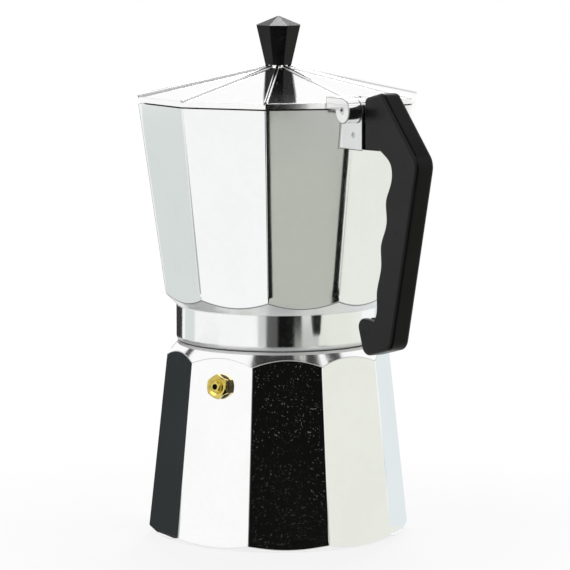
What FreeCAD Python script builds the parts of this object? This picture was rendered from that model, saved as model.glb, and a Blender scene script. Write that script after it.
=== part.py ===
import FreeCAD, Part
import math
import os
from FreeCAD import Vector

# Main sizes in mm and degrees; the handle lies along +X and the spout along -X.
# far is a radius past every facet corner; overlap is how far joined shapes run into each other.
sides = 10
far = 70.0
overlap = 1.0
boiler_base_radius = 62.3
boiler_top_radius = 53.1
boiler_facet_height = 85.4
foot_radius = 57.6
foot_slope = 0.75
boiler_turn = -8.4
boiler_wall = 4.0
boiler_edge_round = 1.9
ledge_radius = 48.0
ledge_bottom = 91.1
ledge_top = 92.1
neck_radius = 42.0
neck_bore = 37.6
neck_top = 108.5
water_shoulder = 60.0
groove_outer = 46.0
groove_inner = 43.0
groove_depth = 0.6

thread_pitch = 3.5
thread_depth = 1.6
thread_base = 1.5
thread_tip = 0.8
thread_start = 96.0
thread_turns = 2.5
thread_root = 0.4

skirt_radius = 48.5
skirt_bore = 44.0
skirt_bottom = 92.4
skirt_round = 2.2
skirt_top = 109.6
collector_low_radius = 54.5
collector_low = 115.6
collector_rim_radius = 67.3
collector_rim = 205.2
collector_wall = 3.2
collector_floor = 118.5
edge_round = 1.2
scallop_round = 0.5

gasket_bottom = 109.9
gasket_top = 112.9
gasket_bore = 35.5
plate_radius = 38.4
plate_thickness = 0.8
fit_gap = 0.3

chimney_bore = 3.6
chimney_spigot = 7.0
chimney_top = 180.5
chimney_foot = 10.0
chimney_outlet = 2.2
well_radius = 34.0
well_rise = 1.2

basket_radius = 36.8
basket_depth = 27.0
sheet = 1.0
stem_radius = 5.0
stem_bottom = 9.0
stem_overlap = 4.0
funnel_cone = 16.0
hole_radius = 0.9
hole_rings = 7
sieve_spacing = 4.4
plate_spacing = 4.6

spout_reach = 13.0
spout_drop = 46.0
spout_half_width = 15.0
spout_root = 6.5
spout_wall = 2.4

hinge_x = 76.8
hinge_z = 205.6
barrel_radius = 5.8
pin_radius = 1.6
pin_recess = 0.7
knuckle_half = 5.5
leaf_half = 12.6
leaf_start = 62.6
leaf_round = 0.8
ear_round = 0.5
ear_inside = 6.0
leaf_slot = 68.4
lug_start = 58.0
lug_bottom = 187.5
lug_top = 199.5
lug_end = 82.2

lid_gap = 0.7
lid_rim_height = 2.5
lid_apex = 222.8
lid_wall = 2.3
bead_radius = 0.9
bead_end = 4.0

knob_sides = 8
knob_turn = -8.5
knob_low_radius = 6.6
knob_high_radius = 11.2
knob_foot = 222.6
knob_seat = 5.2
knob_shoulder = 241.3
knob_tip = 245.5
insert_radius = 4.0
insert_bore = 2.0
insert_length = 12.0
screw_pad = 216.7
screw_hole = 2.1
screw_head = 2.6
washer_radius = 5.6
washer_thick = 1.0

handle_thick = 9.6
handle_front = 82.9
handle_round = 1.8
tongue_thick = 4.4
tongue_start = 70.0
tongue_grip = 11.0
tongue_margin = 2.0
handle_pin_radius = 1.5
handle_pin_recess = 0.25
handle_pin_x = 75.2
handle_pin_z = 194.3

valve_angle = boiler_turn - 54.0
valve_height = 75.7
valve_flats = 10.2
valve_head = 3.3
valve_bore = 2.4
valve_dish = 0.5
valve_shank = 3.5
valve_inlet = 1.0
valve_outlet = 1.3
valve_washer_thick = 0.8


def polygon(radius, z, count, turn):
    points = []
    for index in range(count + 1):
        angle = math.radians(turn + index * 360.0 / count)
        points.append(Vector(radius * math.cos(angle), radius * math.sin(angle), z))
    return Part.makePolygon(points)


def frustum(low_radius, low_z, high_radius, high_z, count=sides, turn=0.0):
    low = polygon(low_radius, low_z, count, turn)
    high = polygon(high_radius, high_z, count, turn)
    return Part.makeLoft([low, high], True, True)


def turned(points):
    corners = [Vector(r, 0, z) for r, z in points]
    face = Part.Face(Part.makePolygon(corners + corners[:1]))
    return face.revolve(Vector(0, 0, 0), Vector(0, 0, 1), 360)


def disc(radius, z, height):
    return Part.makeCylinder(radius, height, Vector(0, 0, z))


def ring(outer, inner, z, height):
    return disc(outer, z, height).cut(disc(inner, z, height))


def box(x0, x1, half_y, z0, z1):
    return Part.makeBox(x1 - x0, 2 * half_y, z1 - z0, Vector(x0, -half_y, z0))


def cross_rod(radius, x, z, y0, y1):
    return Part.makeCylinder(radius, y1 - y0, Vector(x, y0, z), Vector(0, 1, 0))


def solid_from(faces_points):
    faces = [Part.Face(Part.makePolygon(points + points[:1])) for points in faces_points]
    return Part.makeSolid(Part.makeShell(faces))


def is_facet_edge(edge, least_height):
    box_of_edge = edge.BoundBox
    return box_of_edge.ZLength > least_height and len(edge.Vertexes) == 2


def round_corners(solid, radius, least_height):
    edges = [edge for edge in solid.Edges if is_facet_edge(edge, least_height)]
    return solid.makeFillet(radius, edges)


def is_scallop(edge):
    return edge.Curve.TypeId in ("Part::GeomHyperbola", "Part::GeomBSplineCurve") and edge.Length > 12


def round_scallops(solid):
    return solid.makeFillet(scallop_round, [edge for edge in solid.Edges if is_scallop(edge)])


def hole_circles(ring_count, spacing):
    places = [(0.0, 0.0)]
    for ring_index in range(1, ring_count + 1):
        count = 6 * ring_index
        for index in range(count):
            angle = 2 * math.pi * index / count
            reach = ring_index * spacing
            places.append((reach * math.cos(angle), reach * math.sin(angle)))
    return places


def perforate(solid, spacing, z):
    holes = []
    for x, y in hole_circles(hole_rings, spacing):
        holes.append(Part.makeCylinder(hole_radius, 2 * overlap + plate_thickness, Vector(x, y, z - overlap)))
    return solid.cut(Part.makeCompound(holes))


def thread_ridge(root, tip, start_z):
    corners = [
        Vector(root, 0, start_z - thread_base / 2),
        Vector(tip, 0, start_z - thread_tip / 2),
        Vector(tip, 0, start_z + thread_tip / 2),
        Vector(root, 0, start_z + thread_base / 2),
    ]
    section = Part.makePolygon(corners + corners[:1])
    path = Part.makeHelix(thread_pitch, thread_pitch * thread_turns, neck_radius)
    path.translate(Vector(0, 0, start_z))
    return Part.Wire(path.Edges).makePipeShell([section], True, True)


# Lower half

def boiler_radius_at(z):
    return boiler_base_radius + (boiler_top_radius - boiler_base_radius) * z / boiler_facet_height


def make_boiler():
    body = frustum(boiler_base_radius, 0, boiler_radius_at(ledge_top), ledge_top, turn=boiler_turn)
    body = round_corners(body, boiler_edge_round, 50)
    slope = (ledge_bottom - boiler_facet_height) / (boiler_top_radius - ledge_radius)
    shoulder = turned([
        (0, 0), (foot_radius, 0), (far, foot_slope * (far - foot_radius)),
        (far, boiler_facet_height - slope * (far - boiler_top_radius)),
        (ledge_radius, ledge_bottom), (ledge_radius, ledge_top), (0, ledge_top)])
    body = round_scallops(body.common(shoulder))
    body = body.fuse(disc(neck_radius, ledge_top - overlap, neck_top - ledge_top + overlap))
    inset = boiler_wall * 1.06
    water = frustum(boiler_radius_at(boiler_wall) - inset, boiler_wall,
                    boiler_radius_at(ledge_top) - inset, ledge_top, turn=boiler_turn)
    roof_top = ledge_bottom - overlap
    roof = turned([(0, 0), (far, 0), (far, water_shoulder), (neck_bore, roof_top), (0, roof_top)])
    body = body.cut(water.common(roof))
    body = body.cut(disc(neck_bore, ledge_bottom - 3 * overlap, neck_top))
    body = body.cut(ring(groove_outer, groove_inner, -overlap, overlap + groove_depth))
    body = body.cut(place_valve(along_x(disc(valve_shank, -15, 20))))
    ridge = thread_ridge(neck_radius - thread_root, neck_radius + thread_depth, thread_start)
    return body.removeSplitter().fuse(ridge)


def valve_tilt():
    rise = (boiler_base_radius - boiler_top_radius) * math.cos(math.pi / sides)
    return math.degrees(math.atan2(rise, boiler_facet_height))


def place_valve(shape):
    reach = boiler_radius_at(valve_height) * math.cos(math.pi / sides)
    moved = shape.copy()
    moved.rotate(Vector(0, 0, 0), Vector(0, 1, 0), -valve_tilt())
    moved.translate(Vector(reach, 0, valve_height))
    moved.rotate(Vector(0, 0, 0), Vector(0, 0, 1), valve_angle)
    return moved


def along_x(solid):
    turned_over = solid.copy()
    turned_over.rotate(Vector(0, 0, 0), Vector(0, 1, 0), 90)
    return turned_over


head_start = valve_washer_thick
head_end = valve_washer_thick + valve_head
seat = -3.6
cap_start = head_end - 1.6
plunger_foot = seat + 1.6


def make_valve_body():
    corner = valve_flats / 2 / math.cos(math.pi / 6)
    head = frustum(corner, head_start, corner, head_end, 6, 5)
    chamfer = turned([(0, 0), (corner + 0.1, 0), (corner + 0.1, head_end - 1.3),
                      (valve_flats / 2 - 0.3, head_end), (0, head_end)])
    head = head.common(chamfer)
    shank_end = seat - 2.4
    shank = disc(valve_shank, shank_end, head_start - shank_end)
    body = head.fuse(shank)
    dish = turned([(0, head_end - valve_dish), (2.9, head_end - valve_dish), (4.1, head_end), (0, head_end)])
    body = body.cut(dish)
    body = body.cut(disc(valve_bore, seat, head_end - seat))
    body = body.cut(disc(valve_inlet, shank_end, seat - shank_end))
    return place_valve(along_x(body.removeSplitter()))


def make_valve_washer():
    return place_valve(along_x(ring(valve_flats / 2 + 0.5, valve_shank, 0, valve_washer_thick)))


def make_valve_cap():
    flange = head_end - valve_dish
    body = turned([
        (valve_outlet, cap_start), (valve_bore, cap_start), (valve_bore, flange), (2.8, flange),
        (2.6, head_end + 0.3), (2.1, head_end + 0.8), (valve_outlet, head_end + 0.9)])
    return place_valve(along_x(body))


def make_valve_plunger():
    body = turned([(0, seat + 0.1), (1.4, seat + 0.1), (valve_bore - 0.4, seat + 0.8),
                   (valve_bore - 0.4, plunger_foot), (0.7, plunger_foot),
                   (0.7, cap_start - 1.9), (0, cap_start - 1.9)])
    return place_valve(along_x(body))


def make_valve_spring():
    wire = 0.22
    coil_radius = 1.45
    start = plunger_foot + wire + 0.05
    length = cap_start - wire - 0.05 - start
    turns = 4
    path = Part.makeHelix(length / turns, length, coil_radius)
    section = polygon(wire, 0, 12, 0)
    section.rotate(Vector(0, 0, 0), Vector(1, 0, 0), 90)
    section.translate(Vector(coil_radius, 0, 0))
    coil = Part.Wire(path.Edges).makePipeShell([section], True, True)
    coil.translate(Vector(0, 0, start))
    print("valve spring gap between turns", round(length / turns - 2 * wire, 2))
    return place_valve(along_x(coil))


flange_top = neck_top + sheet
basket_floor = flange_top - basket_depth
cone_end = basket_floor - funnel_cone
stem_top = cone_end + stem_overlap


def make_funnel_basket():
    inside = basket_radius - sheet
    return turned([
        (neck_radius, neck_top), (neck_radius, flange_top), (inside, flange_top),
        (inside, basket_floor), (inside - 2, basket_floor), (stem_radius, stem_top),
        (stem_radius, cone_end - 3), (stem_radius + sheet, cone_end - 3),
        (stem_radius + sheet, cone_end + 3.6), (inside - 2, basket_floor - 1.4),
        (basket_radius, basket_floor - 1.0), (basket_radius, neck_top)])


def make_funnel_stem():
    inside = stem_radius - sheet
    return turned([(inside, stem_bottom), (stem_radius, stem_bottom), (stem_radius, stem_top),
                   (inside, stem_top)])


def make_funnel_sieve():
    plate = disc(basket_radius - sheet - fit_gap, basket_floor, plate_thickness)
    return perforate(plate, sieve_spacing, basket_floor)


# Seal between the halves

def make_gasket():
    return ring(skirt_bore - fit_gap, gasket_bore, gasket_bottom, gasket_top - gasket_bottom)


def make_filter_plate():
    plate = disc(plate_radius, gasket_top, plate_thickness)
    return perforate(plate, plate_spacing, gasket_top)


# Upper half

def collector_radius_at(z):
    spread = (collector_rim_radius - collector_low_radius) / (collector_rim - collector_low)
    return collector_low_radius + spread * (z - collector_low)


def spout_wedge(inset, drop, height):
    rim = collector_radius_at(collector_rim)
    low = collector_rim - drop
    foot = Vector(-collector_radius_at(low) + 0.4 + 2 * inset, 0, low)
    tip = Vector(-rim - spout_reach + 1.6 * inset, 0, height)
    half = spout_half_width - inset
    left = Vector(-rim + spout_root + inset, half, height)
    right = Vector(-rim + spout_root + inset, -half, height)
    return solid_from([[foot, tip, left], [foot, right, tip], [foot, left, right], [tip, right, left]])


def hinge_lug():
    lug = box(lug_start, lug_end, knuckle_half, lug_bottom, lug_top)
    lug = lug.makeFillet(leaf_round, [edge for edge in lug.Edges if edge.BoundBox.XLength > 20])
    web = box(hinge_x - barrel_radius, lug_end, knuckle_half, lug_top - overlap, hinge_z)
    barrel = cross_rod(barrel_radius, hinge_x, hinge_z, -knuckle_half, knuckle_half)
    return lug.fuse([web, barrel])


def tongue_slot(gap):
    low = lug_bottom + tongue_margin - gap
    high = lug_top - tongue_margin + gap
    return box(tongue_start - gap, handle_front + tongue_grip + gap, tongue_thick / 2 + gap, low, high)


def make_collector():
    bottom = skirt_top - overlap
    cone_start = skirt_radius - overlap
    body = frustum(collector_radius_at(bottom), bottom, collector_rim_radius, collector_rim)
    body = round_corners(body, edge_round, 50)
    cone = turned([(0, bottom), (cone_start, bottom), (far, bottom + far - cone_start),
                   (far, collector_rim + overlap), (0, collector_rim + overlap)])
    body = round_scallops(body.common(cone))
    skirt = disc(skirt_radius, skirt_bottom, skirt_top + 0.4 - skirt_bottom)
    low_rim = [edge for edge in skirt.Edges if edge.BoundBox.ZMax < skirt_bottom + 0.01]
    body = body.fuse(skirt.makeFillet(skirt_round, low_rim))
    body = body.fuse([spout_wedge(0, spout_drop, collector_rim), hinge_lug()])
    inset = collector_wall * 1.05
    room = frustum(collector_radius_at(collector_floor) - inset, collector_floor,
                   collector_radius_at(collector_rim + overlap) - inset, collector_rim + overlap)
    body = body.cut(room)
    body = body.cut(spout_wedge(spout_wall, spout_drop - 6, collector_rim + 0.2))
    roof = gasket_top + fit_gap
    plate_room = roof + plate_thickness + fit_gap
    well = turned([
        (0, skirt_bottom - overlap), (skirt_bore, skirt_bottom - overlap), (skirt_bore, roof),
        (plate_radius + fit_gap, roof), (plate_radius + fit_gap, plate_room), (well_radius, plate_room),
        (chimney_spigot, plate_room + well_rise), (0, plate_room + well_rise)])
    body = body.cut(well)
    body = body.cut(disc(chimney_spigot, plate_room, 10))
    body = body.cut(tongue_slot(0.1))
    body = body.cut(cross_rod(pin_radius, hinge_x, hinge_z, -20, 20))
    body = body.cut(handle_pin_rod(0.0))
    ridge = thread_ridge(skirt_bore + thread_root, skirt_bore - thread_depth, thread_start + thread_pitch / 2)
    return body.removeSplitter().fuse(ridge)


def make_chimney():
    low = gasket_top + plate_thickness + 2 * fit_gap + well_rise
    body = turned([
        (chimney_bore, low), (chimney_spigot, low), (chimney_spigot, collector_floor),
        (chimney_foot, collector_floor), (chimney_foot - 0.6, collector_floor + 3), (6.2, chimney_top - 4),
        (4.0, chimney_top), (0, chimney_top), (0, chimney_top - 3), (chimney_bore, chimney_top - 6)])
    outlet = cross_rod(chimney_outlet, 0, chimney_top - 8, -chimney_foot, chimney_foot)
    return body.cut(outlet)


def handle_pin_rod(gap, half=knuckle_half):
    return cross_rod(handle_pin_radius + gap, handle_pin_x, handle_pin_z, -half, half)


def make_hinge_pin():
    half = leaf_half - pin_recess
    return cross_rod(pin_radius, hinge_x, hinge_z, -half, half)


def make_handle_pin():
    return handle_pin_rod(0.0, knuckle_half - handle_pin_recess)


def make_handle_tongue():
    return tongue_slot(0.0).cut(handle_pin_rod(0.05))


# Side outline of the handle as (x, z): straight back, then the finger side from hook to root
handle_back = [(handle_front, 187.9), (handle_front, 211.7), (97.5, 214.8), (127.3, 185.3),
               (105.9, 99.5), (82.4, 93.7), (75.8, 111.4), (90.0, 110.9)]
finger_side = [(90.0, 110.9), (92.6, 114.7), (92.9, 124.0), (96.5, 137.1), (96.3, 145.9),
               (100.8, 156.7), (100.3, 166.1), (104.8, 176.2), (104.0, 182.6), (99.6, 186.0),
               (95.4, 188.2)]


def make_handle():
    back = Part.makePolygon([Vector(x, 0, z) for x, z in handle_back])
    curve = Part.BSplineCurve()
    curve.interpolate([Vector(x, 0, z) for x, z in finger_side])
    last = Part.makeLine(curve.EndPoint, Vector(handle_back[0][0], 0, handle_back[0][1]))
    outline = Part.Wire(back.Edges + [curve.toShape(), last])
    plate = Part.Face(outline).extrude(Vector(0, handle_thick, 0))
    plate.translate(Vector(0, -handle_thick / 2, 0))
    if plate.Volume < 0:
        plate.reverse()
    rounds = [2.5, 4.0, 8.0, 6.0, 5.0, 4.0, 2.0]
    corner_rounds = zip(handle_back[1:], rounds)
    for (x, z), radius in corner_rounds:
        found = [edge for edge in plate.Edges if stands_at(edge, x, z)]
        plate = plate.makeFillet(radius, found)
    rims = [edge for edge in plate.Edges if lies_on_side(edge)]
    plate = plate.makeFillet(handle_round, rims)
    groove = box(74.0, 89.0, 1.4, 109.9, 114.5)
    return plate.cut(groove).cut(tongue_slot(0.1))


def stands_at(edge, x, z):
    spot = edge.CenterOfMass
    return abs(spot.x - x) < 0.05 and abs(spot.z - z) < 0.05


def lies_on_side(edge):
    half = handle_thick / 2
    bounds = edge.BoundBox
    flat = bounds.YLength < 0.01 and abs(abs(bounds.YMin) - half) < 0.01
    return flat and bounds.XMin > handle_front - 30


lid_low = collector_rim + lid_gap
lid_rim_top = lid_low + lid_rim_height
leaf_top = hinge_z + barrel_radius


def lid_height_at(radius):
    return lid_rim_top + (lid_apex - lid_rim_top) * (1 - radius / collector_rim_radius)


def ridge_bead(turn):
    start = Vector(collector_rim_radius, 0, lid_height_at(collector_rim_radius))
    end = Vector(bead_end, 0, lid_height_at(bead_end))
    bead = Part.makeCylinder(bead_radius, (end - start).Length, start, end - start)
    bead.rotate(Vector(0, 0, 0), Vector(0, 0, 1), turn)
    return bead


def make_lid():
    rim = frustum(collector_rim_radius, lid_low, collector_rim_radius, lid_rim_top)
    roof = frustum(collector_rim_radius, lid_rim_top, 5.0, lid_height_at(5.0))
    leaf = box(leaf_start, hinge_x, leaf_half, lid_low, leaf_top)
    inner_edges = [edge for edge in leaf.Edges if edge.BoundBox.XMax < leaf_start + 0.01]
    leaf = leaf.makeFillet(leaf_round, inner_edges)
    ears = cross_rod(barrel_radius, hinge_x, hinge_z, -leaf_half, leaf_half)
    ears = ears.makeFillet(ear_round, [edge for edge in ears.Edges if edge.BoundBox.YLength < 0.01])
    beads = [ridge_bead(index * 360.0 / sides) for index in range(sides)]
    body = rim.fuse([roof] + beads)
    body = body.common(frustum(collector_rim_radius + 0.3, lid_low, collector_rim_radius + 0.3, knob_foot))
    body = body.fuse([leaf, ears, disc(knob_seat, lid_height_at(14.0), knob_foot - lid_height_at(14.0))])
    inside = collector_rim_radius - lid_wall * 1.1
    hollow = frustum(inside, lid_low - 1, inside, lid_low + 0.4)
    hollow = hollow.fuse(frustum(inside, lid_low + 0.4, 5.0, lid_height_at(5.0) - lid_wall))
    hollow = hollow.cut(box(53.0, 70.0, leaf_half, lid_low - 2, leaf_top))
    hollow = hollow.cut(disc(8.0, screw_pad, 10))
    body = body.cut(hollow)
    body = body.cut(box(leaf_slot, lug_end + 5, ear_inside, lid_low - 20, leaf_top + 5))
    body = body.cut(cross_rod(pin_radius + 0.05, hinge_x, hinge_z, -20, 20))
    body = body.cut(disc(screw_hole, lid_low, knob_foot - lid_low))
    return body.removeSplitter()


def make_lid_knob():
    skirt = frustum(knob_low_radius, knob_foot, knob_high_radius, knob_shoulder, knob_sides, knob_turn)
    top = frustum(knob_high_radius, knob_shoulder, 0.4, knob_tip, knob_sides, knob_turn)
    body = skirt.fuse(top).removeSplitter()
    edges = [edge for edge in body.Edges if is_facet_edge(edge, 10)]
    body = body.makeFillet(0.5, edges)
    return body.cut(disc(insert_radius, knob_foot, insert_length))


def make_knob_insert():
    return ring(insert_radius, insert_bore, knob_foot, insert_length)


def make_knob_washer():
    return ring(washer_radius, screw_hole, screw_pad - washer_thick, washer_thick)


def make_knob_screw():
    top = screw_pad - washer_thick
    low = top - screw_head
    head = turned([(0, low), (3.0, low), (4.0, low + 1.0), (4.0, top), (0, top)])
    shaft = disc(insert_bore, top - 0.2, knob_foot + 10 - screw_pad)
    slot = Part.makeBox(10, 1.0, 1.2, Vector(-5, -0.5, low - 0.1))
    return head.fuse(shaft).cut(slot).removeSplitter()


makers = {
    "boiler": make_boiler,
    "valve_body": make_valve_body,
    "valve_washer": make_valve_washer,
    "valve_cap": make_valve_cap,
    "valve_plunger": make_valve_plunger,
    "valve_spring": make_valve_spring,
    "funnel_basket": make_funnel_basket,
    "funnel_stem": make_funnel_stem,
    "funnel_sieve": make_funnel_sieve,
    "gasket": make_gasket,
    "filter_plate": make_filter_plate,
    "collector": make_collector,
    "chimney": make_chimney,
    "hinge_pin": make_hinge_pin,
    "handle": make_handle,
    "handle_tongue": make_handle_tongue,
    "handle_pin": make_handle_pin,
    "lid": make_lid,
    "lid_knob": make_lid_knob,
    "knob_insert": make_knob_insert,
    "knob_washer": make_knob_washer,
    "knob_screw": make_knob_screw,
}

os.makedirs("parts", exist_ok=True)
for name, make in makers.items():
    shape = make()
    if len(shape.Solids) != 1 or not shape.isValid():
        print("check", name, len(shape.Solids), shape.isValid())
    solid = shape.Solids[0]
    solid.exportStep("parts/" + name + ".step")
    print(name, round(solid.Volume, 1), [round(v, 1) for v in (
        solid.BoundBox.XMin, solid.BoundBox.XMax, solid.BoundBox.YMin, solid.BoundBox.YMax,
        solid.BoundBox.ZMin, solid.BoundBox.ZMax)])
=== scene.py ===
import math

import bpy
from mathutils import Matrix, Vector


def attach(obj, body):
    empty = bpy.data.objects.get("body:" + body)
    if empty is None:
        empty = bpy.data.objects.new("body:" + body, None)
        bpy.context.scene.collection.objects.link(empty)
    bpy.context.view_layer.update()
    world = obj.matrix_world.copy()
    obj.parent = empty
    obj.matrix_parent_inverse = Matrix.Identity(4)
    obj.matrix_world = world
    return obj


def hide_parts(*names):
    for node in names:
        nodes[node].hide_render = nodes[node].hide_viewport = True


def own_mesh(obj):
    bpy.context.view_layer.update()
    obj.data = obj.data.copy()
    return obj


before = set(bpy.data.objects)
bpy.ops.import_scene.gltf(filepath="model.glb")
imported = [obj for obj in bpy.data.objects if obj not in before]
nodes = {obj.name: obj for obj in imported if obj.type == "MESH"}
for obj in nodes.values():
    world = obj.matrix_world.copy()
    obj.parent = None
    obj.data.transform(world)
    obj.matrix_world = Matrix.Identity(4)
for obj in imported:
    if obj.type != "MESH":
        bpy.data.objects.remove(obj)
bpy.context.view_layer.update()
scene = bpy.context.scene
scene.view_settings.view_transform = "Standard"
print("frame loaded,", len(nodes), "CAD nodes")


# Small helpers for node trees

def put(tree, kind, inputs=None, **settings):
    node = tree.nodes.new(kind)
    for name, value in settings.items():
        setattr(node, name, value)
    for name, value in (inputs or {}).items():
        if isinstance(value, bpy.types.NodeSocket):
            tree.links.new(value, node.inputs[name])
        else:
            node.inputs[name].default_value = value
    return node


def calc(tree, operation, first, second=0.0, third=0.0):
    return put(tree, "ShaderNodeMath", {0: first, 1: second, 2: third}, operation=operation).outputs[0]


def vectorCalc(tree, operation, first, second=(0.0, 0.0, 0.0), output="Vector"):
    return put(tree, "ShaderNodeVectorMath", {0: first, 1: second}, operation=operation).outputs[output]


def fade(tree, value, start, end, low=0.0, high=1.0):
    inputs = {"Value": value, "From Min": start, "From Max": end, "To Min": low, "To Max": high}
    return put(tree, "ShaderNodeMapRange", inputs, interpolation_type="SMOOTHSTEP").outputs["Result"]


def between(tree, value, low, high, soft):
    return calc(tree, "MULTIPLY", fade(tree, value, low - soft, low), fade(tree, value, high + soft, high))


def addMasks(tree, value, masks):
    for mask, amount in masks:
        if mask is not None:
            value = calc(tree, "MULTIPLY_ADD", mask, amount, value)
    return value


def largest(tree, masks):
    found = None
    for mask in masks:
        if mask is not None:
            found = mask if found is None else calc(tree, "MAXIMUM", found, mask)
    return found


def blendColor(tree, factor, first, second):
    return put(tree, "ShaderNodeMix", {0: factor, 6: first, 7: second}, data_type="RGBA").outputs[2]


def cloud(tree, vector, scale, detail=2.0, distortion=0.0):
    inputs = {"Vector": vector, "Scale": scale, "Detail": detail, "Distortion": distortion}
    return put(tree, "ShaderNodeTexNoise", inputs).outputs[0]


def split(tree, vector):
    return put(tree, "ShaderNodeSeparateXYZ", {0: vector}).outputs


def axisDistance(tree, vector):
    x, y, z = split(tree, vector)
    flat = put(tree, "ShaderNodeCombineXYZ", {0: x, 1: y, 2: 0.0}).outputs[0]
    return vectorCalc(tree, "LENGTH", flat, output="Value")


def newGroup(name, inputs, outputs):
    tree = bpy.data.node_groups.new(name, "ShaderNodeTree")
    for label, value in inputs.items():
        kind = "NodeSocketVector" if label == "Vector" else "NodeSocketFloat"
        socket = tree.interface.new_socket(label, in_out="INPUT", socket_type=kind)
        if value is not None:
            socket.default_value = value
    for label in outputs:
        tree.interface.new_socket(label, in_out="OUTPUT", socket_type="NodeSocketFloat")
    given = tree.nodes.new("NodeGroupInput").outputs
    result = tree.nodes.new("NodeGroupOutput").inputs
    return tree, given, result


def useGroup(tree, group, values):
    return put(tree, "ShaderNodeGroup", values, node_tree=group).outputs


# Shared surface effects; every length is in metres

def makeCastPits():
    inputs = {"Vector": None, "Cells": 700.0, "Share": 0.1, "Size": 0.2}
    tree, given, result = newGroup("castPits", inputs, ["Mask"])
    cells = put(tree, "ShaderNodeTexVoronoi", {"Vector": given["Vector"], "Scale": given["Cells"]})
    parts = put(tree, "ShaderNodeSeparateColor", {0: cells.outputs["Color"]}).outputs
    chosen = calc(tree, "LESS_THAN", parts[0], given["Share"])
    radius = calc(tree, "MULTIPLY", given["Size"], parts[1])
    dent = fade(tree, cells.outputs["Distance"], radius, 0.0)
    tree.links.new(calc(tree, "MULTIPLY", dent, chosen), result["Mask"])
    return tree


def makePolishLines():
    inputs = {"Vector": None, "Lines": 1500.0, "Stretch": 30.0}
    tree, given, result = newGroup("polishLines", inputs, ["Value"])
    along = calc(tree, "DIVIDE", 1.0, given["Stretch"])
    squeeze = put(tree, "ShaderNodeCombineXYZ", {0: 1.0, 1: 1.0, 2: along}).outputs[0]
    moved = vectorCalc(tree, "MULTIPLY", given["Vector"], squeeze)
    tree.links.new(cloud(tree, moved, given["Lines"], 3.0), result["Value"])
    return tree


def makeHairScratches():
    inputs = {"Vector": None, "Lines": 420.0, "Rarity": 0.64}
    tree, given, result = newGroup("hairScratches", inputs, ["Mask"])
    found = []
    for turn in ((0.5, 0.2, 0.3), (-0.7, 0.4, 1.9), (1.1, -0.3, 0.8)):
        turned = put(tree, "ShaderNodeMapping", {"Vector": given["Vector"], "Rotation": turn}).outputs[0]
        stretched = vectorCalc(tree, "MULTIPLY", turned, (1.0, 1.0, 0.02))
        line = cloud(tree, stretched, given["Lines"], 1.0, 0.3)
        line = fade(tree, line, given["Rarity"], calc(tree, "ADD", given["Rarity"], 0.05))
        patch = fade(tree, cloud(tree, turned, 45.0, 1.0), 0.52, 0.62)
        found.append(calc(tree, "MULTIPLY", line, patch))
    tree.links.new(largest(tree, found), result["Mask"])
    return tree


def makeHandlingHaze():
    tree, given, result = newGroup("handlingHaze", {"Vector": None, "Scale": 40.0}, ["Value"])
    large = cloud(tree, given["Vector"], given["Scale"], 4.0, 0.6)
    small = cloud(tree, given["Vector"], calc(tree, "MULTIPLY", given["Scale"], 9.0))
    mixed = calc(tree, "MULTIPLY_ADD", small, 0.3, calc(tree, "MULTIPLY", large, 0.7))
    tree.links.new(fade(tree, mixed, 0.35, 0.68), result["Value"])
    return tree


def makeTurnedRings():
    inputs = {"Vector": None, "Pitch": 0.0006, "Wander": 0.6}
    tree, given, result = newGroup("turnedRings", inputs, ["Height"])
    height = split(tree, given["Vector"])[2]
    both = calc(tree, "ADD", axisDistance(tree, given["Vector"]), height)
    turns = calc(tree, "DIVIDE", both, given["Pitch"])
    shifted = calc(tree, "MULTIPLY_ADD", cloud(tree, given["Vector"], 90.0), given["Wander"], turns)
    wave = calc(tree, "SINE", calc(tree, "MULTIPLY", shifted, 2 * math.pi))
    tree.links.new(calc(tree, "MULTIPLY_ADD", wave, 0.5, 0.5), result["Height"])
    return tree


# Where a point lies on a faceted body: depth under its facet's plane, distance from the nearest corner line
def makeFacetFrame():
    inputs = {"Vector": None, "Sides": 10.0, "Turn": 0.0, "Base": 0.05, "Slope": 0.0}
    tree, given, result = newGroup("facetFrame", inputs, ["Depth", "Corner", "Across"])
    x, y, z = split(tree, given["Vector"])
    reach = axisDistance(tree, given["Vector"])
    step = calc(tree, "DIVIDE", 2 * math.pi, given["Sides"])
    angle = calc(tree, "SUBTRACT", calc(tree, "ARCTAN2", y, x), given["Turn"])
    share = calc(tree, "FRACT", calc(tree, "ADD", calc(tree, "DIVIDE", angle, step), given["Sides"]))
    nearest = calc(tree, "MINIMUM", share, calc(tree, "SUBTRACT", 1.0, share))
    fromCentre = calc(tree, "MULTIPLY", calc(tree, "SUBTRACT", share, 0.5), step)
    across = calc(tree, "MULTIPLY", reach, calc(tree, "COSINE", fromCentre))
    plane = calc(tree, "MULTIPLY_ADD", z, given["Slope"], given["Base"])
    tree.links.new(calc(tree, "SUBTRACT", plane, across), result["Depth"])
    tree.links.new(calc(tree, "MULTIPLY", calc(tree, "MULTIPLY", nearest, step), reach), result["Corner"])
    tree.links.new(across, result["Across"])
    return tree


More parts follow.
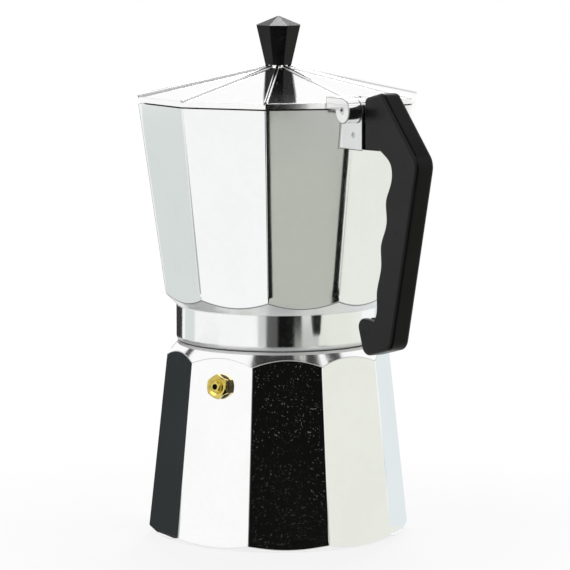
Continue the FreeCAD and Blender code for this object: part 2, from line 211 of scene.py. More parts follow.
# A turned cone that meets the facets in scallops: its own surface and the line where they meet, which is worn
# and painted dark as shade
def makeTurnedCone():
    inputs = {"Vector": None, "Depth": 0.0, "Radius": 0.05, "Height": 0.0, "Spread": 1.0, "Line": 0.0004}
    tree, given, result = newGroup("turnedCone", inputs, ["Surface", "WearAndShade", "Under"])
    rise = calc(tree, "SUBTRACT", split(tree, given["Vector"])[2], given["Height"])
    limit = calc(tree, "MULTIPLY_ADD", rise, given["Spread"], given["Radius"])
    under = calc(tree, "SUBTRACT", limit, axisDistance(tree, given["Vector"]))
    off = calc(tree, "ABSOLUTE", under)
    tree.links.new(fade(tree, off, 0.0006, 0.0002), result["Surface"])
    widest = calc(tree, "MAXIMUM", off, calc(tree, "ABSOLUTE", given["Depth"]))
    tree.links.new(fade(tree, widest, given["Line"], 0.0), result["WearAndShade"])
    tree.links.new(under, result["Under"])
    return tree


castPits = makeCastPits()
polishLines = makePolishLines()
hairScratches = makeHairScratches()
handlingHaze = makeHandlingHaze()
turnedRings = makeTurnedRings()
facetFrame = makeFacetFrame()
turnedCone = makeTurnedCone()
print("surface effects ready")


# Materials

def newMaterial(name):
    material = bpy.data.materials.new(name)
    material.use_nodes = True
    tree = material.node_tree
    shader = tree.nodes["Principled BSDF"]
    where = put(tree, "ShaderNodeTexCoord").outputs["Object"]
    return material, tree, shader, where


def bumpOn(tree, shader, heights):
    normal = None
    for height, distance in heights:
        inputs = {"Height": height, "Distance": distance, "Strength": 1.0}
        if normal is not None:
            inputs["Normal"] = normal
        normal = put(tree, "ShaderNodeBump", inputs).outputs[0]
    tree.links.new(normal, shader.inputs["Normal"])


def opaque(tone, share=1.0):
    return tuple(share * value for value in tone) + (1.0,)


facetShare = math.cos(math.pi / 10)  # a facet's distance from the axis over its corners' distance

# Corner radii and heights follow the castings; low and high are (corner radius, height)
# A cone is (radius, height, radius gained per height, roughness added)
# lineShadeTone is the share of tone painted as shade along worn lines and lid creases; shade paints a band of
# rim darker as shade
castingLook = {
    "boiler": {
        "tone": (0.965, 0.968, 0.963), "rough": 0.045, "haze": 0.03, "turn": -8.4,
        "low": (0.0623, 0.0), "high": (0.0531, 0.0854), "wall": 0.0024, "floor": 0.0005,
        "pits": {"share": 0.22, "size": 0.27, "rough": 0.3},
        "buff": {"depth": 0.00003, "width": 0.002, "heights": (0.003, 0.0852)},
        "cones": [(0.0531, 0.0854, -0.895, 0.045), (0.0576, 0.0, 1.333, 0.12)],
        "line": 0.00024, "lineShadeTone": 0.42, "satin": 0.0, "collar": None,
        "shade": {"heights": (0.0907, 0.0911), "tone": 0.66},
    },
    "collector": {
        "tone": (0.92, 0.93, 0.925), "rough": 0.07, "haze": 0.04, "turn": 0.0,
        "low": (0.0545, 0.1156), "high": (0.0673, 0.2052), "wall": 0.002, "floor": 0.1175,
        "pits": {"share": 0.06, "size": 0.3, "rough": 0.25},
        "buff": {"depth": 0.00024, "width": 0.0036, "heights": (0.117, 0.215)},
        "cones": [(0.0475, 0.1086, 1.0, 0.10)],
        "line": 0.0004, "lineShadeTone": 0.14, "satin": 1.0, "collar": (0.0925, 0.1095),
        "shade": {"heights": (0.0954, 0.0934), "tone": 0.76},
    },
    "lid": {
        "tone": (0.965, 0.967, 0.963), "rough": 0.04, "haze": 0.03, "turn": 0.0,
        "low": (0.0673, 0.2), "high": (0.0673, 0.21), "wall": 0.002, "floor": 0.19,
        "pits": {"share": 0.06, "size": 0.3, "rough": 0.25}, "buff": None,
        "cones": [], "lineShadeTone": 0.7, "satin": 0.0, "collar": None, "shade": None,
    },
}
polish = {
    "pitCells": 2300.0, "pitDepth": 0.000034, "lines": 1800.0, "lineStretch": 40.0, "lineRough": 0.03,
    "lineDepth": 0.0000012, "scratchRough": 0.006, "hazeScale": 32.0, "hazeTone": 0.975, "wornRough": 0.3,
    "shadeRough": 0.2, "belly": 38.0, "bellyDepth": 0.00006, "ringRough": 0.01, "ringPitch": 0.0005,
    "ringDepth": 0.0000009,
}
dullCasting = {
    "tone": (0.76, 0.765, 0.76), "shadow": 0.8, "rough": 0.34, "roughSpread": 0.2, "grain": 900.0,
    "grainDepth": 0.00005, "metal": 0.3,
}
# crease and brow are the widths of the lines painted dark as shade beside the ridge beads and along the rim
lidRoof = {
    "apex": 0.2228, "rim": 0.2084, "thickness": 0.0016, "bead": 0.0009, "crease": 0.00008, "brow": 0.0003,
    "browShare": 0.5,
}
# edge is the share of tone painted as shade along the leaf, ear and lug edge lines
hingeLook = {
    "axis": (0.0768, 0.2056), "ear": 0.0058, "leafHalf": 0.0126, "leafStart": 0.0626, "leafTop": 0.2114,
    "lugHalf": 0.0055, "lugStart": 0.0655, "lugHeights": (0.1875, 0.1995), "rough": 0.2, "edge": 0.5,
}


# Ground side faces of the lid's hinge leaf and ears, and the lines of painted shade along their edges
def leafZones(tree, where):
    x, y, z = split(tree, where)
    half, start, top, ear = (hingeLook[key] for key in ("leafHalf", "leafStart", "leafTop", "ear"))
    axisX, axisZ = hingeLook["axis"]
    onSide = fade(tree, calc(tree, "ABSOLUTE", y), half - 0.0007, half - 0.0004)
    ground = calc(tree, "MULTIPLY", onSide, fade(tree, x, start + 0.0002, start + 0.0010))
    fromPin = put(tree, "ShaderNodeCombineXYZ", {0: calc(tree, "SUBTRACT", x, axisX),
                                                 1: calc(tree, "SUBTRACT", z, axisZ)}).outputs[0]
    earLine = fade(tree, vectorCalc(tree, "LENGTH", fromPin, output="Value"), ear - 0.0007, ear - 0.0004)
    outer = calc(tree, "MAXIMUM", fade(tree, x, axisX - 0.0002, axisX), fade(tree, z, axisZ + 0.0004, axisZ))
    earLine = calc(tree, "MULTIPLY", earLine, outer)
    leafLine = calc(tree, "MAXIMUM", fade(tree, z, top - 0.0005, top - 0.0002),
                    fade(tree, x, start + 0.0013, start + 0.0008))
    leafLine = calc(tree, "MULTIPLY", leafLine, fade(tree, x, axisX, axisX - 0.0002))
    return ground, calc(tree, "MULTIPLY", calc(tree, "MAXIMUM", earLine, leafLine), ground)


# The same for the collector's lug, with painted shade along its root and its foot
def lugZones(tree, where):
    x, y, z = split(tree, where)
    aside = calc(tree, "ABSOLUTE", y)
    half, start = hingeLook["lugHalf"], hingeLook["lugStart"]
    low, high = hingeLook["lugHeights"]
    onLug = calc(tree, "MULTIPLY", between(tree, z, low - 0.0004, high + 0.0004, 0.0002),
                 fade(tree, x, 0.05, 0.052))
    ground = calc(tree, "MULTIPLY", between(tree, aside, half - 0.0004, half + 0.0001, 0.0002),
                  fade(tree, x, start, start + 0.0004))
    ground = calc(tree, "MULTIPLY", ground, fade(tree, z, low - 0.001, low - 0.0006))
    root = between(tree, aside, half + 0.00015, half + 0.0005, 0.0002)
    foot = calc(tree, "MULTIPLY", ground, fade(tree, z, low + 0.0007, low + 0.0003))
    return ground, calc(tree, "MULTIPLY", calc(tree, "MAXIMUM", root, foot), onLug)


def facetOf(tree, where, look):
    (lowRadius, lowHeight), (highRadius, highHeight) = look["low"], look["high"]
    slope = (highRadius - lowRadius) / (highHeight - lowHeight) * facetShare
    base = lowRadius * facetShare - slope * lowHeight
    return useGroup(tree, facetFrame, {"Vector": where, "Turn": math.radians(look["turn"]), "Base": base,
                                       "Slope": slope})


# The lid's underside, and the creases beside its ridge beads and along its rim, painted dark as shade
def roofZones(tree, look, facet, height):
    fall = (lidRoof["apex"] - lidRoof["rim"]) / (look["low"][0] * facetShare)
    roof = calc(tree, "MULTIPLY_ADD", facet["Across"], -fall, lidRoof["apex"])
    depth = calc(tree, "SUBTRACT", roof, height)
    under = fade(tree, depth, lidRoof["thickness"], lidRoof["thickness"] + 0.0004)
    fromCrease = calc(tree, "ABSOLUTE", calc(tree, "SUBTRACT", facet["Corner"], lidRoof["bead"]))
    onRoof = fade(tree, height, lidRoof["rim"] - 0.0004, lidRoof["rim"])
    crease = calc(tree, "MULTIPLY", fade(tree, fromCrease, lidRoof["crease"], 0.0), onRoof)
    fromRim = calc(tree, "ABSOLUTE", calc(tree, "SUBTRACT", height, lidRoof["rim"]))
    brow = calc(tree, "MULTIPLY", fade(tree, fromRim, lidRoof["brow"], 0.0), lidRoof["browShare"])
    return under, calc(tree, "MAXIMUM", crease, brow)


# Facets that buffing has rolled over towards their corner lines
def rolledCorners(tree, buff, facet, height):
    away = calc(tree, "MINIMUM", 1.0, calc(tree, "DIVIDE", facet["Corner"], buff["width"]))
    rolled = calc(tree, "POWER", calc(tree, "SUBTRACT", 1.0, away), 2.0)
    low, high = buff["heights"]
    onFacets = calc(tree, "MULTIPLY", fade(tree, height, low, low + 0.002),
                    fade(tree, height, high, high - 0.002))
    return calc(tree, "MULTIPLY", calc(tree, "MULTIPLY", rolled, onFacets), -1.0)


def makeCasting(piece):
    look = castingLook[piece]
    material, tree, shader, where = newMaterial(piece + "PolishedCasting")
    facet = facetOf(tree, where, look)
    height = split(tree, where)[2]

    # Zones: the unpolished inside, turned cones and collar, worn lines also painted dark as shade, ground
    # hinge faces with edge lines painted as shade, shaded rims
    inside = fade(tree, facet["Depth"], look["wall"], look["wall"] + 0.0004)
    inside = calc(tree, "MULTIPLY", inside, fade(tree, height, look["floor"], look["floor"] + 0.0005))
    turned = []
    wearShadeLines = []
    satin = collar = shade = ground = edge = None
    for radius, coneHeight, spread, coneRough in look["cones"]:
        cone = useGroup(tree, turnedCone, {"Vector": where, "Depth": facet["Depth"], "Radius": radius,
                                           "Height": coneHeight, "Spread": spread, "Line": look["line"]})
        turned.append((cone["Surface"], coneRough))
        wearShadeLines.append(cone["WearAndShade"])
        inside = calc(tree, "MULTIPLY", inside, fade(tree, cone["Under"], 0.001, 0.0016))
        if look["satin"] > 0:
            satin = calc(tree, "MULTIPLY", cone["Surface"], look["satin"])
    if look["collar"]:
        collar = between(tree, height, look["collar"][0], look["collar"][1], 0.0005)
        turned.append((collar, polish["ringRough"]))
    if piece == "lid":
        under, roofLines = roofZones(tree, look, facet, height)
        inside = calc(tree, "MULTIPLY", inside, under)
        wearShadeLines.append(roofLines)
        ground, edge = leafZones(tree, where)
    if piece == "collector":
        ground, edge = lugZones(tree, where)
    # Colour shares that paint shade: along hinge edge lines, on the shaded rim, and along worn lines and lid
    # creases
    tones = [(edge, hingeLook["edge"])]
    if look["shade"]:
        shade = fade(tree, height, *look["shade"]["heights"])
        tones.append((shade, look["shade"]["tone"]))
    wearAndShade = largest(tree, wearShadeLines)
    tones.insert(0, (wearAndShade, look["lineShadeTone"]))

    # Surface detail
    pits = useGroup(tree, castPits, {"Vector": where, "Cells": polish["pitCells"],
                                     "Share": look["pits"]["share"], "Size": look["pits"]["size"]})["Mask"]
    lines = useGroup(tree, polishLines, {"Vector": where, "Lines": polish["lines"],
                                         "Stretch": polish["lineStretch"]})["Value"]
    scratches = useGroup(tree, hairScratches, {"Vector": where})["Mask"]
    haze = useGroup(tree, handlingHaze, {"Vector": where, "Scale": polish["hazeScale"]})["Value"]
    grain = cloud(tree, where, dullCasting["grain"], 4.0)
    belly = cloud(tree, where, polish["belly"], 1.0)

    rough = calc(tree, "MULTIPLY_ADD", haze, look["haze"], look["rough"])
    rough = addMasks(tree, rough, [(lines, polish["lineRough"]), (pits, look["pits"]["rough"]),
                                   (scratches, polish["scratchRough"]), (wearAndShade, polish["wornRough"]),
                                   (ground, hingeLook["rough"]), (shade, polish["shadeRough"])] + turned)
    dullRough = calc(tree, "MULTIPLY_ADD", grain, dullCasting["roughSpread"], dullCasting["rough"])
    polished = calc(tree, "MULTIPLY", rough, calc(tree, "SUBTRACT", 1.0, inside))
    tree.links.new(calc(tree, "MULTIPLY_ADD", dullRough, inside, polished), shader.inputs["Roughness"])

    color = blendColor(tree, haze, opaque(look["tone"]), opaque(look["tone"], polish["hazeTone"]))
    for mask, share in tones:
        if mask is not None:
            color = blendColor(tree, mask, color, opaque(look["tone"], share))
    dullColor = blendColor(tree, grain, opaque(dullCasting["tone"]),
                           opaque(dullCasting["tone"], dullCasting["shadow"]))
    tree.links.new(blendColor(tree, inside, color, dullColor), shader.inputs["Base Color"])
    dulled = largest(tree, [inside, shade, satin])
    tree.links.new(fade(tree, dulled, 0.0, 1.0, 1.0, dullCasting["metal"]), shader.inputs["Metallic"])

    heights = [(belly, polish["bellyDepth"]), (lines, polish["lineDepth"]),
               (calc(tree, "MULTIPLY", pits, -1.0), polish["pitDepth"])]
    if collar is not None:
        rings = useGroup(tree, turnedRings, {"Vector": where, "Pitch": polish["ringPitch"]})["Height"]
        heights.append((calc(tree, "MULTIPLY", rings, collar), polish["ringDepth"]))
    heights.append((calc(tree, "MULTIPLY", grain, inside), dullCasting["grainDepth"]))
    if look["buff"]:
        heights.append((rolledCorners(tree, look["buff"], facet, height), look["buff"]["depth"]))
    bumpOn(tree, shader, heights)
    return material


plasticLook = {
    "handlePlastic": {"tone": (0.0017, 0.0018, 0.0016), "rough": 0.27, "gloss": 0.168, "grain": 2600.0,
                      "grainDepth": 0.000005},
    "knobPlastic": {"tone": (0.0017, 0.0018, 0.0016), "rough": 0.22, "gloss": 0.21, "grain": 2600.0,
                    "grainDepth": 0.000004},
}


def makePlastic(name):
    look = plasticLook[name]
    material, tree, shader, where = newMaterial(name)
    haze = useGroup(tree, handlingHaze, {"Vector": where, "Scale": 60.0})["Value"]
    scratches = useGroup(tree, hairScratches, {"Vector": where, "Lines": 300.0, "Rarity": 0.66})["Mask"]
    grain = cloud(tree, where, look["grain"])
    color = blendColor(tree, haze, opaque(look["tone"]), opaque(look["tone"], 1.5))
    tree.links.new(color, shader.inputs["Base Color"])
    rough = calc(tree, "MULTIPLY_ADD", haze, 0.08, look["rough"])
    rough = calc(tree, "MULTIPLY_ADD", scratches, 0.1, rough)
    tree.links.new(calc(tree, "MULTIPLY_ADD", grain, 0.06, rough), shader.inputs["Roughness"])
    shader.inputs["Specular IOR Level"].default_value = look["gloss"]
    bumpOn(tree, shader, [(grain, look["grainDepth"])])
    return material


# The relief valve stands square on one facet of the boiler; its vent is painted dark inside as shade
valvePlace = {
    "angle": -62.4, "tilt": 5.85, "reach": 0.051495, "height": 0.0757, "vent": 0.0013, "ventShade": 0.04,
}


def placeOnValve():
    turn = Matrix.Rotation(math.radians(valvePlace["angle"]), 4, "Z")
    lean = Matrix.Rotation(math.radians(90.0 - valvePlace["tilt"]), 4, "Y")
    return turn @ Matrix.Translation((valvePlace["reach"], 0.0, valvePlace["height"])) @ lean


def ventShadeMask(tree, where):
    placement = placeOnValve()
    axis = tuple(placement.to_3x3() @ Vector((0.0, 0.0, 1.0)))
    away = vectorCalc(tree, "SUBTRACT", where, tuple(placement.translation))
    along = vectorCalc(tree, "DOT_PRODUCT", away, axis, output="Value")
    onAxis = put(tree, "ShaderNodeVectorMath", {0: axis, "Scale": along}, operation="SCALE").outputs[0]
    reach = vectorCalc(tree, "DISTANCE", away, onAxis, output="Value")
    return fade(tree, reach, valvePlace["vent"] + 0.0001, valvePlace["vent"] + 0.00002)


metalLook = {
    "spunAluminium": {"tone": (0.78, 0.785, 0.78), "dull": (0.66, 0.67, 0.67), "rough": 0.24,
                      "pitch": 0.0007},
    "brass": {"tone": (0.73, 0.60, 0.165), "dull": (0.53, 0.41, 0.085), "rough": 0.17, "pitch": 0.0005},
    "steel": {"tone": (0.72, 0.72, 0.73), "dull": (0.55, 0.55, 0.56), "rough": 0.2, "pitch": 0.0006},
}


def makeTurnedMetal(name):
    look = metalLook[name]
    material, tree, shader, where = newMaterial(name)
    haze = useGroup(tree, handlingHaze, {"Vector": where, "Scale": 120.0})["Value"]
    rings = useGroup(tree, turnedRings, {"Vector": where, "Pitch": look["pitch"]})["Height"]
    color = blendColor(tree, haze, opaque(look["tone"]), opaque(look["dull"]))
    if name == "brass":
        # Inside the vent the brass is painted dark as shade
        color = blendColor(tree, ventShadeMask(tree, where), color, opaque(look["tone"], valvePlace["ventShade"]))
    tree.links.new(color, shader.inputs["Base Color"])
    tree.links.new(calc(tree, "MULTIPLY_ADD", haze, 0.14, look["rough"]), shader.inputs["Roughness"])
    shader.inputs["Metallic"].default_value = 1.0
    bumpOn(tree, shader, [(rings, 0.000006)])
    return material


sealLook = {
    "paleSeal": {"tone": (0.70, 0.67, 0.58), "speck": (0.58, 0.55, 0.47)},
    "darkFibre": {"tone": (0.055, 0.045, 0.032), "speck": (0.10, 0.08, 0.055)},
}


def makeSeal(name):
    look = sealLook[name]
    material, tree, shader, where = newMaterial(name)
    grain = cloud(tree, where, 1400.0, 3.0)
    color = blendColor(tree, grain, opaque(look["tone"]), opaque(look["speck"]))
    tree.links.new(color, shader.inputs["Base Color"])
    tree.links.new(fade(tree, grain, 0.3, 0.7, 0.5, 0.7), shader.inputs["Roughness"])
    bumpOn(tree, shader, [(grain, 0.00001)])
    return material


def dress(node, material):
    mesh = nodes[node].data
    mesh.materials.clear()
    mesh.materials.append(material)


for piece in castingLook:
    dress(piece, makeCasting(piece))
finishes = {}
for name in plasticLook:
    finishes[name] = makePlastic(name)
for name in metalLook:
    finishes[name] = makeTurnedMetal(name)
for name in sealLook:
    finishes[name] = makeSeal(name)
dressing = {
    "handlePlastic": ["handle"],
    "knobPlastic": ["lid_knob"],
    "spunAluminium": ["funnel_basket", "funnel_stem", "funnel_sieve", "filter_plate", "chimney"],
    "brass": ["valve_body", "valve_cap", "knob_insert"],
    "steel": ["hinge_pin", "handle_pin", "handle_tongue", "knob_screw", "knob_washer", "valve_spring",
              "valve_plunger"],
    "paleSeal": ["gasket"],
    "darkFibre": ["valve_washer"],
}
for finish, dressed in dressing.items():
    for node in dressed:
        dress(node, finishes[finish])
print("materials on", len(castingLook) + sum(len(dressed) for dressed in dressing.values()), "nodes")


# Rolled lips that the punch leaves round every hole of the two perforated plates
punchedLips = {
    "sieveLips": {"body": "lower_half", "height": 0.0825, "spacing": 0.0044, "rings": 7, "hole": 0.0009,
                  "lip": 0.00014, "seed": 4},
    "plateLips": {"body": "seal_set", "height": 0.1129, "spacing": 0.0046, "rings": 7, "hole": 0.0009,
                  "lip": 0.00014, "seed": 7},
}


def newShapeTree(name, kinds):
    tree = bpy.data.node_groups.new(name, "GeometryNodeTree")
    sockets = {}
    for label, kind in kinds.items():
        socket = tree.interface.new_socket(label, in_out="INPUT", socket_type="NodeSocket" + kind)
        sockets[label] = socket.identifier
    tree.interface.new_socket("Geometry", in_out="OUTPUT", socket_type="NodeSocketGeometry")
    return tree, sockets, tree.nodes.new("NodeGroupInput").outputs


def roundSection(tree, resolution, radius):
    inputs = {"Resolution": resolution, "Radius": radius}
    return put(tree, "GeometryNodeCurvePrimitiveCircle", inputs, mode="RADIUS").outputs[0]


def sweep(tree, path, section, caps=False):
    inputs = {"Curve": path, "Profile Curve": section, "Fill Caps": caps}
    return put(tree, "GeometryNodeCurveToMesh", inputs).outputs[0]


def endShapeTree(tree, geometry, finish):
    whole = put(tree, "GeometryNodeRealizeInstances", {"Geometry": geometry})
    smooth = put(tree, "GeometryNodeSetShadeSmooth", {"Geometry": whole.outputs[0]})
    dressed = put(tree, "GeometryNodeSetMaterial", {"Geometry": smooth.outputs[0], "Material": finish})
    result = tree.nodes.new("NodeGroupOutput")
    tree.links.new(dressed.outputs[0], result.inputs[0])


def shapeFrom(name, tree, sockets, values):
    maker = bpy.data.objects.new(name + "Maker", bpy.data.meshes.new(name + "Maker"))
    scene.collection.objects.link(maker)
    modifier = maker.modifiers.new("shape", "NODES")
    modifier.node_group = tree
    for label, identifier in sockets.items():
        modifier[identifier] = values[label]
    depsgraph = bpy.context.evaluated_depsgraph_get()
    mesh = bpy.data.meshes.new_from_object(maker.evaluated_get(depsgraph))
    bpy.data.objects.remove(maker)
    return mesh


def addPiece(name, mesh, body):
    thing = bpy.data.objects.new(name, mesh)
    scene.collection.objects.link(thing)
    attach(thing, body)
    print(name, len(mesh.polygons), "faces")
    return thing


def makeLipTree():
    kinds = {"rings": "Int", "spacing": "Float", "hole": "Float", "lip": "Float", "height": "Float",
             "seed": "Int", "finish": "Material"}
    tree, sockets, given = newShapeTree("punchedLips", kinds)

    # Hole i lies on ring k = ceil((sqrt(9 + 12 i) - 3) / 6), which holds 6 k holes
    index = put(tree, "GeometryNodeInputIndex").outputs[0]
    root = calc(tree, "SQRT", calc(tree, "MULTIPLY_ADD", index, 12.0, 9.0))
    ring = calc(tree, "CEIL", calc(tree, "MULTIPLY_ADD", root, 1.0 / 6.0, -0.5001))
    before = calc(tree, "MULTIPLY", calc(tree, "MULTIPLY", ring, 3.0), calc(tree, "SUBTRACT", ring, 1.0))
    place = calc(tree, "SUBTRACT", calc(tree, "SUBTRACT", index, before), 1.0)
    angle = calc(tree, "DIVIDE", calc(tree, "MULTIPLY", place, math.pi / 3), calc(tree, "MAXIMUM", ring, 1.0))
    reach = calc(tree, "MULTIPLY", ring, given["spacing"])
    spot = put(tree, "ShaderNodeCombineXYZ", {0: calc(tree, "MULTIPLY", reach, calc(tree, "COSINE", angle)),
                                              1: calc(tree, "MULTIPLY", reach, calc(tree, "SINE", angle)),
                                              2: given["height"]}).outputs[0]
    more = calc(tree, "ADD", given["rings"], 1.0)
    count = calc(tree, "MULTIPLY_ADD", calc(tree, "MULTIPLY", given["rings"], 3.0), more, 1.0)
    points = put(tree, "GeometryNodePoints", {"Count": count, "Position": spot})
    lip = sweep(tree, roundSection(tree, 16, given["hole"]), roundSection(tree, 6, given["lip"]))
    uneven = {2: 0.8, 3: 1.15, "Seed": given["seed"]}
    rise = put(tree, "FunctionNodeRandomValue", uneven, data_type="FLOAT").outputs[1]
    scale = put(tree, "ShaderNodeCombineXYZ", {0: 1.0, 1: 1.0, 2: rise}).outputs[0]
    lips = put(tree, "GeometryNodeInstanceOnPoints", {"Points": points.outputs[0], "Instance": lip,
                                                      "Scale": scale})
    endShapeTree(tree, lips.outputs[0], given["finish"])
    return tree, sockets


lipTree, lipSockets = makeLipTree()
for name, values in punchedLips.items():
    values["finish"] = finishes["spunAluminium"]
    mesh = shapeFrom(name, lipTree, lipSockets, values)
    addPiece(name, mesh, values["body"])


# The relief valve's spring lies along the valve's own axis
valveSpring = {
    "start": -0.00173, "length": 0.00396, "coil": 0.00145, "wire": 0.00022, "turns": 4.0, "keep": 0.64,
}


def makeSpringTree():
    kinds = {"coil": "Float", "wire": "Float", "turns": "Float", "length": "Float", "finish": "Material"}
    tree, sockets, given = newShapeTree("valveSpring", kinds)
    path = put(tree, "GeometryNodeCurveSpiral", {"Resolution": 32, "Rotations": given["turns"],
                                                 "Start Radius": given["coil"], "End Radius": given["coil"],
                                                 "Height": given["length"]})
    wire = sweep(tree, path.outputs[0], roundSection(tree, 12, given["wire"]), caps=True)
    endShapeTree(tree, wire, given["finish"])
    return tree, sockets


def makeSpring():
    values = dict(valveSpring, finish=finishes["steel"])
    tree, sockets = makeSpringTree()
    mesh = shapeFrom("reliefSpring", tree, sockets, values)
    placement = placeOnValve()
    mesh.transform(placement @ Matrix.Translation((0.0, 0.0, values["start"])))
    spring = addPiece("reliefSpring", mesh, "lower_half")
    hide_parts("valve_spring")
    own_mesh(spring)


makeSpring()


# Studio: floor, cards that only the polish sees, lamps, world

cameraView = {"azimuth": 59.04, "elevation": 6.877, "distance": 1.6533, "aim": (0.0, 0.0, 0.1162),
              "lens": 219.8, "right": 0.0031, "up": 0.0017}
cameraAngle = cameraView["azimuth"] - 90.0
floorLook = {
    "reach": 12.0, "count": 96, "tone": (0.93, 0.93, 0.93, 1.0), "near": (0.06, 0.75), "far": (0.26, 1.0),
}
white = (1.0, 1.0, 1.0, 1.0)


def addStageMesh(name, points, faces):
    mesh = bpy.data.meshes.new(name)
    mesh.from_pydata(points, [], faces)
    thing = bpy.data.objects.new(name, mesh)
    scene.collection.objects.link(thing)
    material = bpy.data.materials.new(name)
    material.use_nodes = True
    material.node_tree.nodes.clear()
    mesh.materials.append(material)
    return thing, material.node_tree


def seenByPolish(tree):
    path = put(tree, "ShaderNodeLightPath").outputs
    mirrored = calc(tree, "MAXIMUM", path["Is Glossy Ray"], path["Is Transmission Ray"])
    return calc(tree, "MAXIMUM", path["Is Camera Ray"], mirrored)


def makeFloor():
    turns = [2 * math.pi * i / floorLook["count"] for i in range(floorLook["count"])]
    ring = [(floorLook["reach"] * math.cos(turn), floorLook["reach"] * math.sin(turn), 0.0) for turn in turns]
    floor, tree = addStageMesh("floor", ring, [tuple(range(len(ring)))])
    where = put(tree, "ShaderNodeTexCoord").outputs["Object"]
    (nearReach, nearShare), (farReach, farShare) = floorLook["near"], floorLook["far"]
    share = fade(tree, axisDistance(tree, where), nearReach, farReach, nearShare, farShare)
    pale = put(tree, "ShaderNodeBsdfDiffuse", {"Color": floorLook["tone"]})
    bright = put(tree, "ShaderNodeEmission", {"Color": white, "Strength": 1.0})
    mixed = put(tree, "ShaderNodeMixShader", {0: calc(tree, "MULTIPLY", seenByPolish(tree), share),
                                              1: pale.outputs[0], 2: bright.outputs[0]})
    put(tree, "ShaderNodeOutputMaterial", {"Surface": mixed.outputs[0]})


def makeCard(name, spread, profile, shade):
    steps = max(2, round(abs(spread[1] - spread[0]) / 3))
    points = []
    for reach, height in profile:
        for i in range(steps + 1):
            angle = math.radians(cameraAngle + spread[0] + (spread[1] - spread[0]) * i / steps)
            points.append((reach * math.cos(angle), reach * math.sin(angle), height))
    faces = []
    for row in range(len(profile) - 1):
        for i in range(steps):
            first = row * (steps + 1) + i
            faces.append((first, first + 1, first + steps + 2, first + steps + 1))
    card, tree = addStageMesh(name, points, faces)
    glow = put(tree, "ShaderNodeEmission", {"Color": opaque(shade), "Strength": 1.0})
    put(tree, "ShaderNodeOutputMaterial", {"Surface": glow.outputs[0]})
    card.visible_camera = False
    card.visible_diffuse = False
    card.visible_shadow = False
    card.visible_transmission = False


deepBlack = (0.0048, 0.0049, 0.0044)
floorBlack = (0.012, 0.012, 0.012)
nearBlack = (0.03, 0.03, 0.03)
slate = (0.031, 0.036, 0.037)
coolGrey = (0.78, 0.83, 0.85)

# Angles are from the camera, to its right; a profile is (reach, height) in metres
studioCards = {
    "blackCard": ((-1, 17), [(0.62, 0.0), (0.62, 0.36)], deepBlack),
    "blackHighCard": ((17, 25), [(0.62, 0.018), (0.62, 0.36)], deepBlack),
    "softCard": ((-13, -1), [(0.62, 0.0), (0.62, 0.36)], (0.11, 0.11, 0.11)),
    "paleCard": ((-22, -13), [(0.62, 0.0), (0.62, 0.36)], (0.60, 0.61, 0.60)),
    "rightPaleCard": ((25, 44), [(0.62, 0.0), (0.62, 0.036)], (0.50, 0.51, 0.49)),
    "blackApron": ((-13, 17), [(0.30, 0.0006), (0.46, 0.0006)], floorBlack),
    "blackFarApron": ((-13, 17), [(0.46, 0.0006), (0.62, 0.0006)], floorBlack),
    "blackFoot": ((-14, 26), [(0.066, 0.0007), (0.30, 0.0007)], deepBlack),
    "topFlag": ((-50, 74), [(0.10, 0.60), (0.29, 0.60)], nearBlack),
    "handleFlag": ((82, 112), [(0.29, 0.60), (0.44, 0.60)], nearBlack),
    "narrowApron": ((43, 54), [(0.30, 0.0006), (0.62, 0.0006)], nearBlack),
    "leftFlag": ((-103, -68), [(0.0655, 0.0006), (0.075, 0.0006), (0.075, 0.0865)], slate),
    "leftLowFlag": ((-116, -103), [(0.0655, 0.0006), (0.075, 0.0006), (0.075, 0.0815)], slate),
    "shoulderFlag": ((-133, -126), [(0.50, 0.28), (0.50, 0.50)], (0.06, 0.06, 0.06)),
    "leftBackApron": ((-176, -136), [(0.45, 0.0005), (2.40, 0.0005)], (0.04, 0.04, 0.04)),
    "leftSideApron": ((-104, -68), [(0.09, 0.0005), (0.62, 0.0005)], (0.42, 0.44, 0.44)),
    "frontApron": ((-37, -20), [(0.11, 0.0005), (0.30, 0.0005)], (0.72, 0.74, 0.74)),
    "rightBackApron": ((112, 172), [(0.32, 0.0005), (0.66, 0.0005)], (0.50, 0.52, 0.52)),
    "greyApron": ((14, 36), [(0.30, 0.0005), (0.75, 0.0005)], (0.50, 0.515, 0.465)),
    "leftApron": ((-128, -106), [(0.40, 0.0005), (1.10, 0.0005)], (0.72, 0.76, 0.75)),
    "rightApron": ((88, 106), [(0.36, 0.0005), (0.95, 0.0005)], (0.86, 0.87, 0.82)),
    "warmCard": ((40, 98), [(0.066, 0.0004), (1.1, 0.0004), (1.1, 0.30)], (0.83, 0.845, 0.775)),
    "coolCard": ((128, 156), [(0.10, 0.0003), (0.25, 0.0003), (0.25, 0.09)], coolGrey),
    "coolFoot": ((84, 140), [(0.064, 0.0003), (0.25, 0.0003)], coolGrey),
}
makeFloor()
for name, (spread, profile, shade) in studioCards.items():
    makeCard(name, spread, profile, shade)


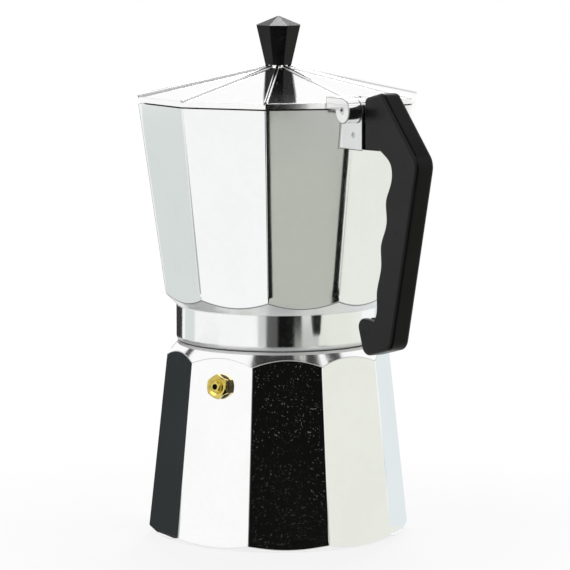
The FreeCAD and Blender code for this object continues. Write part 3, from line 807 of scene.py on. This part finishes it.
def aimAt(thing, target):
    direction = Vector(target) - thing.location
    thing.rotation_mode = "QUATERNION"
    thing.rotation_quaternion = direction.to_track_quat("-Z", "Y")


studioLamps = {
    "backSoftbox": {"angle": 175, "height": 52, "distance": 1.4, "size": 0.6, "power": 6.0},
    "frontFill": {"angle": -50, "height": 40, "distance": 1.8, "size": 1.2, "power": 4.0},
}
lampTarget = Vector((0.0, 0.0, 0.1))


def makeLamp(name, values):
    data = bpy.data.lights.new(name, "AREA")
    data.shape = "DISK"
    data.size = values["size"]
    data.energy = values["power"]
    lamp = bpy.data.objects.new(name, data)
    scene.collection.objects.link(lamp)
    around = math.radians(cameraAngle + values["angle"])
    up = math.radians(values["height"])
    away = Vector((math.cos(up) * math.cos(around), math.cos(up) * math.sin(around), math.sin(up)))
    lamp.location = lampTarget + away * values["distance"]
    aimAt(lamp, lampTarget)


for name, values in studioLamps.items():
    makeLamp(name, values)


def makeWorld():
    world = bpy.data.worlds.new("studio")
    scene.world = world
    world.use_nodes = True
    tree = world.node_tree
    tree.nodes.clear()
    fill = put(tree, "ShaderNodeBackground", {"Color": white, "Strength": 0.6})
    seen = put(tree, "ShaderNodeBackground", {"Color": white, "Strength": 1.0})
    mixed = put(tree, "ShaderNodeMixShader", {0: seenByPolish(tree), 1: fill.outputs[0], 2: seen.outputs[0]})
    put(tree, "ShaderNodeOutputWorld", {"Surface": mixed.outputs[0]})


makeWorld()


def makeCamera():
    data = bpy.data.cameras.new("photoCamera")
    camera = bpy.data.objects.new("photoCamera", data)
    scene.collection.objects.link(camera)
    around = math.radians(cameraView["azimuth"])
    up = math.radians(cameraView["elevation"])
    back = Vector((math.sin(around) * math.cos(up), -math.cos(around) * math.cos(up), math.sin(up)))
    side = Vector((math.cos(around), math.sin(around), 0.0))
    lift = back.cross(side)
    camera.location = Vector(cameraView["aim"]) + back * cameraView["distance"]
    aimAt(camera, Vector(cameraView["aim"]) + side * cameraView["right"] + lift * cameraView["up"])
    data.lens = cameraView["lens"]
    data.sensor_width = 36.0
    data.clip_start = 0.05
    data.clip_end = 60.0
    scene.camera = camera


makeCamera()
print("studio and camera ready")
